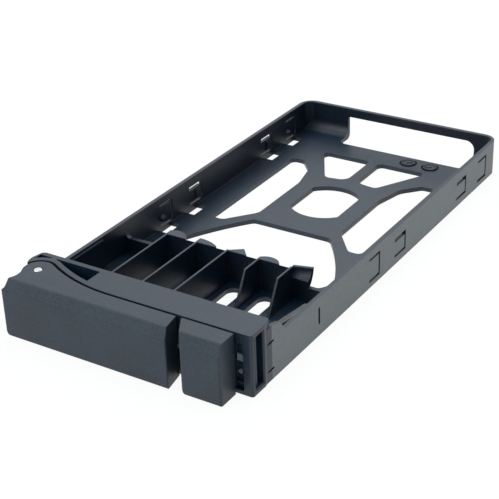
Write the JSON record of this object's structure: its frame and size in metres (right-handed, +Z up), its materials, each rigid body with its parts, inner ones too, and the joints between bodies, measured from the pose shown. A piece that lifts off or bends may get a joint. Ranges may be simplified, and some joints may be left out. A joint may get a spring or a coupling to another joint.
{
  "type": "ssd tray",
  "caption": "Moulded tray for a 2.5 inch drive with a hinged lever handle, a sliding release button and screwless spring tabs.",
  "frame": {"origin": "on the underside, under the middle of the whole tray with its lever closed", "axes": "+X to the right seen from the front, +Y from the lever towards the drive's connector, +Z up"},
  "size_m": [0.0748, 0.1642, 0.0181],
  "materials": {
    "tray_plastic": "smooth black moulding with a faint sheen",
    "handle_plastic": "fine matt texture",
    "pin_steel": "bright turned end",
    "spring_steel": "drawn wire",
    "clear_guide": "clear, slightly smoky"
  },
  "bodies": {
    "tray": {"tray_body": "tray_plastic", "hinge_pin": "pin_steel", "hinge_spring": "spring_steel", "button_spring": "spring_steel", "upper_light_guide": "clear_guide", "lower_light_guide": "clear_guide"},
    "lever": {"lever_handle": "handle_plastic"},
    "button": {"release_button": "handle_plastic"}
  },
  "joints": [
    {"name": "lever_hinge", "type": "hinge", "parent": "tray", "child": "lever", "pos_m": [-0.0315, -0.07335, 0.009], "axis": [0, 0, -1], "range_deg": [0, 50], "deforming": ["hinge_spring"]},
    {"name": "button_slide", "type": "slide", "parent": "tray", "child": "button", "axis": [1, 0, 0], "range_m": [0, 0.002], "stiffness_N_per_m": 300, "springref_m": -0.0015, "deforming": ["button_spring"]}
  ]
}
